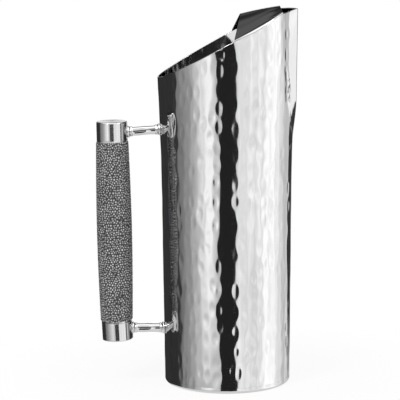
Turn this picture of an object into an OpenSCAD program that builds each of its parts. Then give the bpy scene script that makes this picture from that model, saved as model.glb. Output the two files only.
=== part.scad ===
// Tall water pitcher of polished sheet steel: slanted rim, folded spout, ice guard
// across the front of the mouth, and a leather grip carried on two arms.
// Millimetres. The origin is the centre of the underside, +Z is up, +X is the
// way it pours, and the handle stands on the far side, turned towards -Y.

/* [Body] */
// Outside diameter at the foot of the wall
base_d = 95; // [84:1:108]
// Growth of the radius along a straight taper, foot to lip
taper = 2.6; // [1:0.2:5]
// Further growth of the radius where the wall flares towards the mouth
flare = 2.4; // [0.6:0.2:4]
// Height at which the flare begins
flare_z = 150; // [120:5:170]
// Thickness of the steel sheet
wall_t = 1; // [0.8:0.1:1.4]
// Thickness of the base plate
base_t = 1.2; // [1:0.1:1.6]
// Radius of the corner under the wall
corner_r = 2.6; // [2:0.2:4]
// Height at which base plate and wall are welded together
base_lip = 4.5; // [4.2:0.1:8]

/* [Rim and ice guard] */
// Height of the rim on the handle side
back_h = 232; // [222:1:240]
// How far the rim sags beside the guard
rim_dip = 1.5; // [0:0.1:2.5]
// Distance of the guard's back feet from the body's axis
guard_back_x = 5.3; // [2:0.5:10]
// Distance of the guard's front feet from the body's axis
guard_front_x = 41; // [38:0.5:43]
// Height of the ridge over the back feet
guard_back_h = 15.8; // [12:0.2:20]
// Height of the ridge over the front feet
guard_front_h = 2.6; // [1.8:0.2:5]
// How far the back edge leans forward up to the ridge
guard_lean = 6; // [2:0.5:9]
// Thickness of the guard's sheet
guard_t = 1; // [0.8:0.1:1.4]

/* [Spout] */
// Height of the spout's lip at its creases
spout_h = 280.6; // [272:0.2:290]
// How far the lip rises from the creases to its tip
lip_rise = 1.6; // [0:0.1:2]
// Width of the spout between its creases, at the lip
spout_w = 58; // [52:1:60]
// Width of the spout between its creases, at the lower fold
fold_w = 50; // [40:1:51]
// Height of the lower fold
fold_z = 214; // [206:1:222]
// Height at which the spout runs out into the wall
spout_foot_z = 184; // [172:1:192]
// How far the ridge stands out from the wall at the fold
fold_push = 1.9; // [1:0.1:3]
// How far the ridge stands out from the wall at the lip
lip_push = 1.1; // [0.6:0.1:3]

/* [Handle] */
// Angle of the handle round the body, from opposite the spout
handle_angle = 6; // [0:1:20]
// Distance of the grip's axis from the wall
grip_reach = 36; // [34:0.5:44]
// Height of the handle's lower end
handle_low = 33.9; // [30:0.1:42]
// Distance of the handle's upper end below the rim at the back
handle_drop = 32.3; // [26:0.1:40]
// Diameter of the leather at its ends
grip_end_d = 24.3; // [23.6:0.1:26]
// Diameter of the leather at the middle
grip_mid_d = 26.5; // [24:0.1:30]
// Thickness of the leather
leather_t = 1.6; // [1:0.1:1.9]
// Diameter of the steel ferrules
ferrule_d = 23; // [21:0.1:23.4]
// Length of each ferrule
ferrule_l = 15; // [14:0.5:18]
// Tilt of the lower ferrule towards the body, degrees
ferrule_tilt = 2; // [0:0.5:4]
// Diameter of the rod that ties the ferrules together
tie_d = 5; // [4:0.5:6]

/* [Arms and collars] */
// Diameter of the arms
arm_d = 7; // [6:0.5:8]
// Distance of the upper arm below the handle's upper end
upper_arm_drop = 8.7; // [7:0.1:9]
// How far the upper arm rises on its way to the wall
upper_arm_rise = 2; // [0:0.2:4]
// Distance of the lower arm above the handle's lower end
lower_arm_rise = 8.6; // [7:0.1:9]
// How far the lower arm falls on its way to the wall
lower_arm_fall = 1; // [0:0.2:4]
// Diameter of the collars
collar_d = 8.8; // [8.6:0.1:11]
// Length of the collars
collar_l = 3.8; // [3:0.1:5]
// Diameter of the arms' tenons
tenon_d = 4.6; // [4:0.2:5]

/* [Hidden] */

// Welded edges and seats meet with this gap, and every cut runs past by the overrun.
seam = 0.05;
fit = 0.1;
overrun = 5;

// The ridge of the guard bows up between its ends, and ends short of the front feet.
ridge_crown = 0.4;
ridge_setback = 1;
// The guard's fold lies this far inside the outer face of the wall.
fold_inset = 1.3 * wall_t;
// Share of each wing that is flat before it rolls over into the ridge.
flat_share = 0.8;
wing_shares = [0.2, 0.4, 0.6, 0.8, 0.85, 0.9, 0.95];
guard_rows = 14;

// Half width of the spout where it runs out, and the roundness of its ridge.
spout_foot_half = 6;
ridge_round_share = 0.1;
spout_cols = 8;
spout_upper_rows = 8;
spout_lower_rows = 7;

// Steps along the wall and along the grip.
wall_steps = 36;
barrel_steps = 16;

// Turned details of the handle.
edge_r = 0.8;
spigot_r = 8.6;
spigot_l = 4;
tie_inset = 4;
tenon_l = 5.5;

steel = [0.76, 0.77, 0.79];
bright = [0.86, 0.87, 0.88];
dark_steel = [0.36, 0.37, 0.39];
shagreen = [0.43, 0.43, 0.44];
beech = [0.72, 0.56, 0.38];

$fn = 96;

function clamp01(t) = min(1, max(0, t));
function lerp(a, b, t) = a + (b - a) * t;
function ramp(a, b, v) = clamp01((v - a) / (b - a));

// Outer radius of the wall at height z: a straight taper and, above flare_z, a soft flare.
function wall_r(z) = base_d / 2 + taper * z / spout_h
    + flare * pow(sin(90 * ramp(flare_z, spout_h, z)), 2);

// Height of the rim over the point x of its side view.
back_x = wall_r(back_h);
function rim_z(x) = x >= guard_front_x ? spout_h
    : lerp(back_h, spout_h, (x + back_x) / (guard_front_x + back_x))
      - rim_dip * pow(sin(180 * ramp(guard_back_x, guard_front_x, x)), 2);

guard_stations = [for (i = [0 : guard_rows]) lerp(guard_back_x, guard_front_x, i / guard_rows)];
reach_x = wall_r(spout_h) + fold_push + lip_push + overrun;

// Everything above the rim, as one extrusion of the side view across the body.
module above_rim() {
    top = spout_h + guard_back_h;
    rotate([90, 0, 0])
        linear_extrude(height = 2 * reach_x, center = true)
            polygon(concat(
                [[-reach_x, top], [-reach_x, rim_z(-reach_x)]],
                [for (x = guard_stations) [x, rim_z(x)]],
                [[reach_x, spout_h], [reach_x, top]]
            ));
}

// Solid of the body's outer form, grown by a gap.
module body_form(grow) {
    heights = [for (i = [0 : wall_steps]) spout_h * i / wall_steps];
    rotate_extrude($fn = 180)
        polygon(concat([[0, 0]], [for (z = heights) [wall_r(z) + grow, z]], [[0, spout_h]]));
}

// Outline of the spout seen from the front, widened by a gap: lip, fold and foot.
function spout_half(z) = z > fold_z
    ? lerp(fold_w / 2, spout_w / 2, ramp(fold_z, spout_h, z))
    : lerp(spout_foot_half, fold_w / 2, ramp(spout_foot_z, fold_z, z));

module spout_notch(gap) {
    side = [
        [spout_half(spout_foot_z) + gap, spout_foot_z - gap],
        [spout_half(fold_z) + gap, fold_z],
        [spout_half(spout_h) + gap, spout_h],
        [spout_half(spout_h) + gap, spout_h + overrun]
    ];
    rotate([90, 0, 90])
        linear_extrude(height = reach_x)
            polygon(concat(side, [for (i = [len(side) - 1 : -1 : 0]) [-side[i][0], side[i][1]]]));
}

module body_wall() {
    low = base_lip + seam;
    heights = [for (i = [0 : wall_steps]) lerp(low, spout_h + overrun, i / wall_steps)];
    color(steel)
        difference() {
            rotate_extrude($fn = 180)
                polygon(concat(
                    [for (z = heights) [wall_r(z), z]],
                    [for (i = [wall_steps : -1 : 0]) [wall_r(heights[i]) - wall_t, heights[i]]]
                ));
            above_rim();
            spout_notch(seam);
        }
}

module base_plate() {
    centre = wall_r(corner_r) - corner_r;
    inner_r = corner_r - base_t;
    inner_top = wall_r(base_lip) - wall_t;
    steps = 6;
    color(steel)
        rotate_extrude($fn = 180)
            polygon(concat(
                [[0, 0]],
                [for (i = [0 : steps]) let (a = -90 + 90 * i / steps)
                    [centre + corner_r * cos(a), corner_r + corner_r * sin(a)]],
                [[wall_r(base_lip), base_lip], [inner_top, base_lip]],
                [for (i = [steps : -1 : 0]) let (a = -90 + 90 * i / steps)
                    [centre - (wall_t - base_t) + inner_r * cos(a), corner_r + inner_r * sin(a)]],
                [[0, base_t]]
            ));
}

// Closed solid between two grids of points, the first grid on the outside.
module sheet_solid(outside, inside) {
    rows = len(outside);
    cols = len(outside[0]);
    n = rows * cols;
    edge = concat(
        [for (j = [0 : cols - 1]) j],
        [for (i = [1 : rows - 1]) i * cols + cols - 1],
        [for (j = [cols - 2 : -1 : 0]) (rows - 1) * cols + j],
        [for (i = [rows - 2 : -1 : 1]) i * cols]
    );
    faces = concat(
        [for (i = [0 : rows - 2], j = [0 : cols - 2]) let (a = i * cols + j) each
            [[a, a + cols, a + 1], [a + 1, a + cols, a + cols + 1]]],
        [for (i = [0 : rows - 2], j = [0 : cols - 2]) let (a = n + i * cols + j) each
            [[a, a + 1, a + cols], [a + 1, a + cols + 1, a + cols]]],
        [for (k = [0 : len(edge) - 1]) let (a = edge[k], b = edge[(k + 1) % len(edge)]) each
            [[a, b, n + a], [b, n + b, n + a]]]
    );
    polyhedron(points = concat([for (r = outside) each r], [for (r = inside) each r]), faces = faces);
}

// Ridge of the spout in the side view: straight above the fold, and running out below it.
function ridge_x(z) = z > fold_z
    ? lerp(wall_r(fold_z) + fold_push, wall_r(spout_h) + lip_push, ramp(fold_z, spout_h, z))
    : wall_r(z) + fold_push * pow(sin(90 * ramp(spout_foot_z, fold_z, z)), 1.5);

// Flank of the spout: flat from crease to ridge, with the ridge rounded over.
function flank(u) = (sqrt(u * u + pow(ridge_round_share, 2)) - ridge_round_share)
    / (sqrt(1 + pow(ridge_round_share, 2)) - ridge_round_share);
function spout_point(z, u, depth) = let (half = spout_half(z), r = wall_r(z) - depth)
    [lerp(ridge_x(z) - depth, sqrt(r * r - half * half), flank(u)), half * u,
     z + lip_rise * (1 - u * u) * ramp(fold_z, spout_h, z)];

module spout() {
    heights = concat(
        [for (i = [0 : spout_lower_rows - 1]) lerp(spout_foot_z, fold_z, i / spout_lower_rows)],
        [for (i = [0 : spout_upper_rows]) lerp(fold_z, spout_h, i / spout_upper_rows)]
    );
    shares = [for (j = [-spout_cols : spout_cols]) j / spout_cols];
    color(bright)
        sheet_solid(
            [for (z = heights) [for (u = shares) spout_point(z, u, 0)]],
            [for (z = heights) [for (u = shares) spout_point(z, u, wall_t)]]
        );
}

// The guard is a sheet: on each side a flange on the rim, a straight fold from back
// foot to front foot, and a wing that rises to the ridge.
function half_at(x, z, inset) = sqrt(pow(wall_r(z) - inset, 2) - x * x);
function guard_fold(s) = let (x = lerp(guard_back_x, guard_front_x, s))
    [x,
     lerp(half_at(guard_back_x, rim_z(guard_back_x), fold_inset),
          half_at(guard_front_x, spout_h, fold_inset), s),
     lerp(rim_z(guard_back_x), spout_h, s) + guard_t + seam];
function guard_rim(s) = let (x = lerp(guard_back_x, guard_front_x, s), z = rim_z(x))
    [x, half_at(x, z, 0), z + guard_t + seam];
function guard_ridge(s) =
    [lerp(guard_back_x + guard_lean, guard_front_x - ridge_setback, s),
     0,
     lerp(rim_z(guard_back_x) + guard_back_h, spout_h + guard_front_h, s)
        + guard_t + seam + 4 * ridge_crown * s * (1 - s)];
// Rise of a wing over its width: straight, then a parabola that ends level.
function wing_rise(t) = 2 / (1 + flat_share)
    * (t <= flat_share ? t : t - pow(t - flat_share, 2) / (2 * (1 - flat_share)));
function guard_wing(s, t) = let (a = guard_fold(s), b = guard_ridge(s))
    [lerp(a[0], b[0], t), lerp(a[1], b[1], t), lerp(a[2], b[2], wing_rise(t))];
function guard_row(s, drop) = let (
        side = concat([guard_rim(s), guard_fold(s)], [for (t = wing_shares) guard_wing(s, t)]),
        last = len(side) - 1)
    concat(
        [for (k = [0 : last]) [side[k][0], -side[k][1], side[k][2] - drop]],
        [guard_ridge(s) - [0, 0, drop]],
        [for (k = [last : -1 : 0]) side[k] - [0, 0, drop]]
    );

module ice_guard() {
    shares = [for (i = [0 : guard_rows]) i / guard_rows];
    color(dark_steel)
        sheet_solid(
            [for (s = shares) guard_row(s, 0)],
            [for (s = shares) guard_row(s, guard_t)]
        );
}

// The grip's axis runs parallel to the wall, from the lower end of the handle.
handle_high = back_h - handle_drop;
upper_arm_z = handle_high - upper_arm_drop;
lower_arm_z = handle_low + lower_arm_rise;
grip_lean = atan((wall_r(upper_arm_z) - wall_r(lower_arm_z)) / (upper_arm_z - lower_arm_z));
function grip_rho(z) = wall_r(lower_arm_z) + grip_reach + (z - lower_arm_z) * tan(grip_lean);
grip_l = (handle_high - handle_low) / cos(grip_lean);
ferrule_r = ferrule_d / 2;

module handle_side() {
    rotate([0, 0, 180 + handle_angle])
        children();
}

module grip_frame() {
    handle_side()
        translate([grip_rho(handle_low), 0, handle_low])
            rotate([0, grip_lean, 0])
                children();
}

// Frame of the lower ferrule, tilted about the middle of the leather's end.
module tilted_end() {
    translate([0, 0, ferrule_l])
        rotate([0, ferrule_tilt, 0])
            translate([0, 0, -ferrule_l])
                children();
}

module upper_end() {
    translate([0, 0, grip_l])
        rotate([180, 0, 0])
            children();
}

// Arms: each frame starts on the grip's axis and looks along the arm to the wall.
function arm_run(z, fall) = grip_rho(z) - wall_r(z - fall);
function arm_length(z, fall) = sqrt(pow(arm_run(z, fall), 2) + fall * fall);
module arm_frame(z, fall) {
    handle_side()
        translate([grip_rho(z), 0, z])
            rotate([0, -90 - atan(fall / arm_run(z, fall)), 0])
                children();
}

module arm(z, fall) {
    color(bright)
        difference() {
            arm_frame(z, fall) {
                translate([0, 0, ferrule_r + fit])
                    cylinder(d = arm_d, h = arm_length(z, fall) - ferrule_r + overrun);
                translate([0, 0, ferrule_r - tenon_l])
                    cylinder(d = tenon_d, h = tenon_l + 2 * fit);
            }
            body_form(seam);
        }
}

// A collar swells from its seat to its full diameter and runs down to the arm.
module collar_ring(skirt) {
    steps = 12;
    seat_angle = 45;
    swell = collar_d / 2 - arm_d / 2 - seam;
    bore_r = arm_d / 2 + seam;
    rotate_extrude()
        polygon(concat(
            [[bore_r, -skirt], [bore_r + swell * sin(seat_angle), -skirt]],
            [for (i = [0 : steps]) let (a = lerp(seat_angle, 180, i / steps))
                [bore_r + swell * sin(a), collar_l * i / steps]]
        ));
}

// Each collar has a skirt, coped to the wall or to the ferrule's round side.
module wall_collar(z, fall) {
    color(bright)
        difference() {
            arm_frame(z, fall)
                translate([0, 0, arm_length(z, fall)])
                    rotate([180, 0, 0])
                        collar_ring(overrun);
            body_form(seam);
        }
}

module grip_collar(z, fall) {
    sink = ferrule_r - sqrt(ferrule_r * ferrule_r - collar_d * collar_d / 4);
    color(bright)
        difference() {
            arm_frame(z, fall)
                translate([0, 0, ferrule_r])
                    collar_ring(sink);
            grip_frame()
                children();
        }
}

module ferrule_form(grow) {
    translate([0, 0, -overrun])
        cylinder(r = ferrule_r + grow, h = ferrule_l + 2 * overrun);
}

// Turned cap: outer end at zero with a rounded edge, socket for the core at the other.
module ferrule_blank() {
    steps = 5;
    difference() {
        rotate_extrude()
            polygon(concat(
                [[0, 0]],
                [for (i = [0 : steps]) let (a = -90 + 90 * i / steps)
                    [ferrule_r - edge_r + edge_r * cos(a), edge_r + edge_r * sin(a)]],
                [[ferrule_r, ferrule_l], [0, ferrule_l]]
            ));
        translate([0, 0, ferrule_l - spigot_l - fit])
            cylinder(r = spigot_r + fit, h = spigot_l + fit + overrun);
    }
}

module tie_hole() {
    translate([0, 0, tie_inset - fit])
        cylinder(d = tie_d + 2 * fit, h = grip_l - 2 * tie_inset + 2 * fit);
}

module tenon_hole(z, fall) {
    arm_frame(z, fall)
        translate([0, 0, ferrule_r - tenon_l - fit])
            cylinder(d = tenon_d + 2 * fit, h = tenon_l + overrun);
}

module upper_ferrule() {
    color(bright)
        difference() {
            grip_frame() upper_end() ferrule_blank();
            grip_frame() tie_hole();
            tenon_hole(upper_arm_z, -upper_arm_rise);
        }
}

module lower_ferrule() {
    color(bright)
        difference() {
            grip_frame() tilted_end() ferrule_blank();
            grip_frame() tie_hole();
            tenon_hole(lower_arm_z, lower_arm_fall);
        }
}

// Barrel between the ferrules, from one depth under the leather's face to another.
function barrel_r(t) = lerp(grip_end_d, grip_mid_d, sin(180 * t)) / 2;
function barrel_side(depth, low, high) = concat(
    [[barrel_r(0) - depth, low - grip_mid_d * sin(ferrule_tilt)]],
    [for (i = [0 : barrel_steps]) [barrel_r(i / barrel_steps) - depth, lerp(low, high, i / barrel_steps)]]
);

module barrel(depth, bore_depth) {
    low = ferrule_l + seam;
    high = grip_l - ferrule_l - seam;
    inner = barrel_side(bore_depth, low, high);
    difference() {
        rotate_extrude()
            polygon(concat(
                barrel_side(depth, low, high),
                [for (i = [len(inner) - 1 : -1 : 0]) inner[i]]
            ));
        tilted_end()
            translate([0, 0, -overrun])
                cylinder(r = grip_mid_d, h = overrun + ferrule_l + seam);
    }
}

// Shouldered end of the core, in the frame of its ferrule.
module spigot() {
    translate([0, 0, ferrule_l - spigot_l])
        cylinder(r = spigot_r, h = 2 * spigot_l);
}

module grip_core() {
    color(beech)
        grip_frame()
            difference() {
                union() {
                    barrel(leather_t + seam, barrel_r(0) - tie_d / 2 - fit);
                    tilted_end() spigot();
                    upper_end() spigot();
                }
                tie_hole();
            }
}

module grip_sleeve() {
    color(shagreen)
        grip_frame()
            barrel(0, leather_t);
}

module tie_rod() {
    color(steel)
        grip_frame()
            translate([0, 0, tie_inset])
                cylinder(d = tie_d, h = grip_l - 2 * tie_inset);
}

body_wall();
base_plate();
spout();
ice_guard();
arm(upper_arm_z, -upper_arm_rise);  // upper_arm
arm(lower_arm_z, lower_arm_fall);  // lower_arm
wall_collar(upper_arm_z, -upper_arm_rise);  // upper_wall_collar
wall_collar(lower_arm_z, lower_arm_fall);  // lower_wall_collar
grip_collar(upper_arm_z, -upper_arm_rise) upper_end() ferrule_form(seam);  // upper_grip_collar
grip_collar(lower_arm_z, lower_arm_fall) tilted_end() ferrule_form(seam);  // lower_grip_collar
upper_ferrule();
lower_ferrule();
grip_core();
grip_sleeve();
tie_rod();
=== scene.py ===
import math

import bmesh
import bpy
import numpy as np
from mathutils import Matrix, Vector


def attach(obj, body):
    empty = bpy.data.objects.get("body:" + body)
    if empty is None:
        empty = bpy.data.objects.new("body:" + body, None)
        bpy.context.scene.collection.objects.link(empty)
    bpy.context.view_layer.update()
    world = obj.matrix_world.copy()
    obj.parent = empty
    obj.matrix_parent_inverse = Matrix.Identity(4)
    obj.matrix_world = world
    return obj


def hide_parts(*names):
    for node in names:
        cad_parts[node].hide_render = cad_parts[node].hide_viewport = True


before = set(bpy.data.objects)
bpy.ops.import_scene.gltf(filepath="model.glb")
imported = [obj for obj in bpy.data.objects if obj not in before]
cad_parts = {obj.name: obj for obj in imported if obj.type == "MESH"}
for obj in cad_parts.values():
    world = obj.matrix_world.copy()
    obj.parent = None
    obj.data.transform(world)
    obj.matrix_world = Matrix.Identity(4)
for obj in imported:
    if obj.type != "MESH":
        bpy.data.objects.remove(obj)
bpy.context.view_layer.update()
mm = 0.001


# Helpers for curves and grids

def ramp(low, high, value):  # straight from 0 at low to 1 at high
    return np.clip((value - low) / (high - low), 0, 1)


def blendOver(low, high, value):  # smoothstep from 0 at low to 1 at high
    t = ramp(low, high, value)
    return t * t * (3 - 2 * t)


def between(a, b, t):
    return a + (b - a) * t


def turnY(degrees):
    c, s = math.cos(math.radians(degrees)), math.sin(math.radians(degrees))
    return np.array([[c, 0, s], [0, 1, 0], [-s, 0, c]])


def turnZ(degrees):
    c, s = math.cos(math.radians(degrees)), math.sin(math.radians(degrees))
    return np.array([[c, -s, 0], [s, c, 0], [0, 0, 1]])


def placed(points, turn, origin):  # local points, turned and moved to their origin
    return points @ turn.T + origin


def gridFaces(rows, cols, first=0, closedCols=False, closedRows=False):
    # Quads between neighbours in a grid of points that is numbered row by row.
    r = np.arange(rows if closedRows else rows - 1)
    c = np.arange(cols if closedCols else cols - 1)
    r, c = np.meshgrid(r, c, indexing="ij")
    nextRow, nextCol = (r + 1) % rows, (c + 1) % cols
    corners = ((r, c), (r, nextCol), (nextRow, nextCol), (nextRow, c))
    return first + np.stack([row * cols + col for row, col in corners], -1).reshape(-1, 4)


def stripFaces(near, far):  # quads between two lines of point numbers
    return np.stack([near[:-1], near[1:], far[1:], far[:-1]], -1)


def addPiece(name, points, faces, nodes, material, sharpAngle=50, values=None):
    # Faces is a list of index arrays, one for each number of corners. Values are fields
    # that the material reads as attributes.
    used, index = np.unique(np.concatenate([f.ravel() for f in faces]), return_inverse=True)
    starts = np.cumsum([0] + [f.size for f in faces])
    lists = [index[start:start + f.size].reshape(f.shape).tolist()
             for start, f in zip(starts, faces)]
    mesh = bpy.data.meshes.new(name)
    mesh.from_pydata(points.reshape(-1, 3)[used].tolist(), [], sum(lists, []))
    for key, field in (values or {}).items():
        layer = mesh.attributes.new(key, "FLOAT", "POINT")
        layer.data.foreach_set("value", field.reshape(-1)[used].astype(np.float32))
    work = bmesh.new()
    work.from_mesh(mesh)
    bmesh.ops.remove_doubles(work, verts=work.verts, dist=1e-7)  # closes seams and poles
    bmesh.ops.recalc_face_normals(work, faces=work.faces)
    work.to_mesh(mesh)
    work.free()
    mesh.polygons.foreach_set("use_smooth", np.ones(len(mesh.polygons), bool))
    mesh.set_sharp_from_angle(angle=math.radians(sharpAngle))
    mesh.materials.append(material)
    piece = bpy.data.objects.new(name, mesh)
    bpy.context.scene.collection.objects.link(piece)
    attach(piece, "root")
    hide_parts(*nodes)
    return piece


def revolved(profile, cols):
    # Surface of revolution: each (radius, height) of the profile goes round +Z.
    turn = np.linspace(0, 2 * np.pi, cols, endpoint=False)
    r, z = np.asarray(profile, float).T[:, :, None]
    return np.stack([r * np.cos(turn), r * np.sin(turn), np.repeat(z, cols, 1)], -1)


def arc(centreR, centreZ, radius, start, end, steps):
    a = np.radians(np.linspace(start, end, steps + 1))
    return np.stack([centreR + radius * np.cos(a), centreZ + radius * np.sin(a)], -1)


def rolledEdge(outer, inner, rise, steps=6):
    # Rows that carry a sheet's outer edge over to its inner edge in a half round.
    a = np.radians(np.linspace(0, 180, steps + 1)[1:-1])[:, None, None]
    middle, half = (outer + inner) / 2, (outer - inner) / 2
    return middle + half * np.cos(a) + np.array([0, 0, rise]) * np.sin(a)


def hammerMarks(u, v, marks, single=()):
    # Overlapping shallow bowls on a jittered, staggered lattice, whose columns drift aside
    # in a sine. Each bowl is a paraboloid, depth times (squared distance in half sizes - 1),
    # and a soft minimum joins them and the flat. Single blows are (u, v, half width, half
    # height, depth), and skipped columns have no others.
    cols, rows = marks["around"], 64
    pitchU, pitchV = marks["girth"] / cols, marks["pitch"]
    rng = np.random.default_rng(marks["seed"])
    jitter = rng.uniform(-1, 1, (cols, rows, 4))
    shift = 0.5 * (np.arange(cols) % 2) + marks["uneven"] * rng.uniform(-1, 1, cols)

    def weight(du, dv, halfWide, halfTall, depth):  # of one bowl in the soft minimum
        bowl = depth * ((du / halfWide) ** 2 + (dv / halfTall) ** 2 - 1)
        return np.exp(-np.clip(bowl / marks["soft"], -40, 40))

    total = np.ones_like(u)
    for placeU, placeV, halfWide, halfTall, depth in single:
        total = total + weight(u - placeU, v - placeV, halfWide, halfTall, depth)
    u = u - marks["drift"] * np.sin(2 * np.pi * v / marks["driftLength"] + marks["driftStart"])
    baseU = np.floor(u / pitchU).astype(int)
    for stepU in (-1, 0, 1):
        colU = baseU + stepU
        j = colU % cols
        baseV = np.floor(v / pitchV - shift[j]).astype(int)
        for stepV in (-1, 0, 1):
            rowV = baseV + stepV
            k = jitter[j, rowV % rows]
            du = u - (colU + 0.5 + marks["loose"] * k[..., 0]) * pitchU
            dv = v - (rowV + 0.5 + shift[j] + marks["loose"] * k[..., 1]) * pitchV
            halfWide = marks["halfWide"] * (1 + marks["widthSpread"] * k[..., 2])
            depth = marks["depth"] * (1 + marks["depthSpread"] * k[..., 3])
            blow = weight(du, dv, halfWide, marks["halfTall"], depth)
            total = total + blow * ~np.isin(j, marks["skip"])
    return -marks["soft"] * np.log(total)


# Materials

def colour(code):  # sRGB hex to linear
    parts = [int(code[i:i + 2], 16) / 255 for i in (0, 2, 4)]
    linear = [p / 12.92 if p <= 0.04045 else ((p + 0.055) / 1.055) ** 2.4 for p in parts]
    return (*linear, 1)


def addNode(tree, kind, settings=None, **links):
    # A setting "in:Scale" or "in:0" is the value of an input, any other a property of the
    # node. A link goes to the input of its name, or to the one of its number, as in i0.
    node = tree.nodes.new(kind)
    for key, value in (settings or {}).items():
        if key.startswith("in:"):
            name = key[3:]
            node.inputs[int(name) if name.isdigit() else name].default_value = value
        else:
            setattr(node, key, value)
    for name, source in links.items():
        numbered = name[0] == "i" and name[1:].isdigit()
        tree.links.new(source, node.inputs[int(name[1:]) if numbered else name])
    return node


def addStops(colourRamp, stops):  # each stop is a position and a colour
    while len(colourRamp.elements) > 1:
        colourRamp.elements.remove(colourRamp.elements[-1])
    colourRamp.elements[0].position, colourRamp.elements[0].color = stops[0]
    for position, shade in stops[1:]:
        colourRamp.elements.new(position).color = shade


def newMaterial(name):
    material = bpy.data.materials.new(name)
    material.use_nodes = True
    return material, material.node_tree, material.node_tree.nodes["Principled BSDF"]


# The last tone is the dark grey of the guard's painted dark reflection and of the wall's dark dashes.
polish = dict(patch=24 * mm, patchDetail=3.0, lineDetail=2.0, lineRange=(0.3, 0.7), bump=0.12,
              darkMarkAndReflectionTone="48484a")


def polishedSteel(name, light, dark, smooth, rough, streak, lineSize=1.2 * mm, relief=0.002 * mm):
    # Stainless sheet or bar, ground and then buffed: nearly a mirror, with faint patches
    # where the buff ran drier and hair-fine lines that soften the reflections. The lines are
    # drawn coarser than real ones, so that they show. An attribute darkens the colour: a
    # painted dark reflection on the ice guard, and the dark dashes beside the crease in the wall.
    material, tree, shader = newMaterial(name)
    where = addNode(tree, "ShaderNodeTexCoord").outputs["Object"]
    patches = addNode(tree, "ShaderNodeTexNoise", {
        "in:Scale": 1 / polish["patch"], "in:Detail": polish["patchDetail"]}, Vector=where)
    turned = addNode(tree, "ShaderNodeMapping", {"in:Scale": streak}, Vector=where)
    lines = addNode(tree, "ShaderNodeTexNoise", {
        "in:Scale": 1 / lineSize, "in:Detail": polish["lineDetail"]}, Vector=turned.outputs[0])
    tint = addNode(tree, "ShaderNodeMix", {
        "data_type": "RGBA", "in:6": colour(dark), "in:7": colour(light)},
        Factor=patches.outputs["Fac"])
    # Painted dark reflection on the ice guard, dark dashes in the wall: this attribute darkens the
    # colour.
    darkMarkAndPaintedReflection = addNode(tree, "ShaderNodeAttribute", {"attribute_name": "darkMarkAndPaintedReflection"}).outputs["Fac"]
    tint = addNode(tree, "ShaderNodeMix", {
        "data_type": "RGBA", "in:7": colour(polish["darkMarkAndReflectionTone"])}, Factor=darkMarkAndPaintedReflection, i6=tint.outputs[2])
    gloss = addNode(tree, "ShaderNodeMapRange", {
        "in:From Min": polish["lineRange"][0], "in:From Max": polish["lineRange"][1],
        "in:To Min": smooth, "in:To Max": rough}, Value=lines.outputs["Fac"])
    bump = addNode(tree, "ShaderNodeBump", {
        "in:Strength": polish["bump"], "in:Distance": relief}, Height=lines.outputs["Fac"])
    tree.links.new(tint.outputs[2], shader.inputs["Base Color"])
    tree.links.new(gloss.outputs[0], shader.inputs["Roughness"])
    tree.links.new(bump.outputs[0], shader.inputs["Normal"])
    shader.inputs["Metallic"].default_value = 1
    return material


# Sheet, hammered and buffed over the marks: each mark holds a bright little mirror image.
hammeredSteel = polishedSteel("hammered_stainless_sheet", "d7d7d7", "cdcdce", 0.045, 0.075,
                              (1, 1, 0.12))
# Sheet straight from the buffing wheel: long, clear mirror images.
sheetSteel = polishedSteel("buffed_stainless_sheet", "d6d6d6", "cdcdce", 0.05, 0.08, (1, 1, 0.12))
# Bar turned on a lathe: fine rings round it draw its highlights out into bands.
turnedSteel = polishedSteel("turned_stainless", "d6d6d6", "cfcfcf", 0.11, 0.16,
                            (0.03, 0.03, 1), 0.4 * mm, 0.01 * mm)
for socket, value in (("Anisotropic", 0.8), ("Anisotropic Rotation", 0.25)):
    turnedSteel.node_tree.nodes["Principled BSDF"].inputs[socket].default_value = value
# Rod, hammered and buffed: a mirror image that breaks at each blow.
rodSteel = polishedSteel("hammered_stainless_rod", "d6d6d6", "cdcdcd", 0.05, 0.08, (1, 1, 1))

shagreen = dict(
    # The grains are paler than the dyed grooves; the palest stop, at the crown, is a painted
    # highlight.
    tonesAndPaintedHighlight=[(0.12, "29292a"), (0.5, "464647"), (0.74, "6c6c6c"), (0.96, "d8d8d8")],  # groove to crown
    darkest=0.72, palest=1.25, grooveRough=0.7, crownRough=0.28, specular=0.45,
    pore=0.7 * mm, poreDepth=0.05 * mm, bump=0.35,
)


def shagreenLeather():
    # Ray leather, dyed grey, sanded and waxed: hard round grains stand pale and glossy
    # over dark, duller grooves. The palest tone, at each grain's crown, is a painted highlight.
    material, tree, shader = newMaterial("grey_shagreen_leather")
    dome = addNode(tree, "ShaderNodeAttribute", {"attribute_name": "grain"}).outputs["Fac"]
    shade = addNode(tree, "ShaderNodeAttribute", {"attribute_name": "shade"}).outputs["Fac"]
    where = addNode(tree, "ShaderNodeTexCoord").outputs["Object"]
    pores = addNode(tree, "ShaderNodeTexNoise", {
        "in:Scale": 1 / shagreen["pore"], "in:Detail": 3.0}, Vector=where)
    tonesAndPaintedHighlight = addNode(tree, "ShaderNodeValToRGB", Fac=dome)
    addStops(tonesAndPaintedHighlight.color_ramp, [(place, colour(code)) for place, code in shagreen["tonesAndPaintedHighlight"]])
    strength = addNode(tree, "ShaderNodeMapRange", {
        "in:To Min": shagreen["darkest"], "in:To Max": shagreen["palest"]}, Value=shade)
    tint = addNode(tree, "ShaderNodeMix", {
        "data_type": "RGBA", "blend_type": "MULTIPLY", "in:0": 1.0},
        i6=tonesAndPaintedHighlight.outputs[0], i7=strength.outputs[0])
    gloss = addNode(tree, "ShaderNodeMapRange", {
        "in:To Min": shagreen["grooveRough"], "in:To Max": shagreen["crownRough"]}, Value=dome)
    bump = addNode(tree, "ShaderNodeBump", {
        "in:Strength": shagreen["bump"], "in:Distance": shagreen["poreDepth"]},
        Height=pores.outputs["Fac"])
    tree.links.new(tint.outputs[2], shader.inputs["Base Color"])
    tree.links.new(gloss.outputs[0], shader.inputs["Roughness"])
    tree.links.new(bump.outputs[0], shader.inputs["Normal"])
    shader.inputs["Specular IOR Level"].default_value = shagreen["specular"]
    return material


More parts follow.
